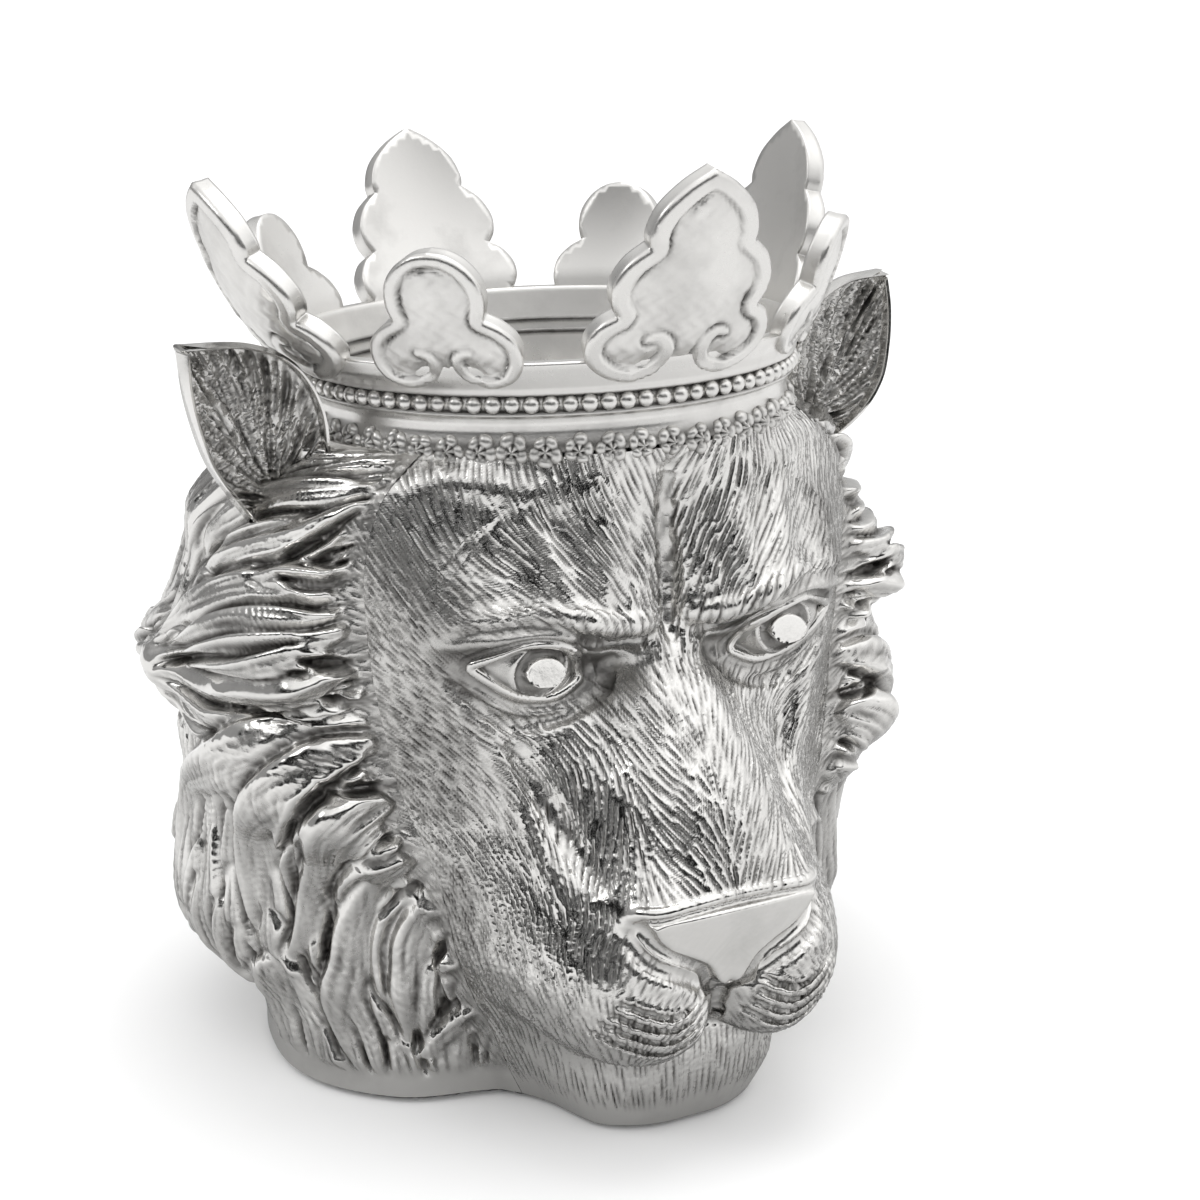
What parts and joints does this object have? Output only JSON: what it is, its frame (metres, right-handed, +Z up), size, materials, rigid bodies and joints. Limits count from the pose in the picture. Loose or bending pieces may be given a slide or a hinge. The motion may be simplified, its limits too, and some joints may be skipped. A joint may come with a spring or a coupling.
{
  "type": "champagne bucket",
  "caption": "Polished cast-metal champagne bucket shaped as a crowned lion's head, with a lift-out liner that holds bottle and ice.",
  "frame": {"origin": "on the bucket's upright axis, at the underside of the felt sheet it stands on", "axes": "+Z up through the crown, the lion looks along -Y, its right side is at -X"},
  "size_m": [0.2556, 0.2392, 0.2957],
  "materials": {
    "polished_casting": "cast, plated and polished, with darkened recesses",
    "spun_liner": "spun, satin",
    "base_sheet": "mill finish sheet",
    "screw_steel": "zinc-plated",
    "felt": "pressed black felt"
  },
  "bodies": {
    "head": {"face_casting": "polished_casting", "mane_casting_left": "polished_casting", "mane_casting_right": "polished_casting", "ear_left": "polished_casting", "ear_right": "polished_casting", "crown": "polished_casting", "base_plate": "base_sheet", "felt_sheet": "felt", "base_screw_1": "screw_steel", "base_screw_2": "screw_steel", "base_screw_3": "screw_steel", "base_screw_4": "screw_steel", "base_screw_5": "screw_steel", "base_screw_6": "screw_steel"},
    "liner": {"liner": "spun_liner"}
  },
  "joints": [
    {"name": "liner_lift", "type": "slide", "parent": "head", "child": "liner", "axis": [0, 0, 1], "range_m": [0, 0.3]}
  ]
}
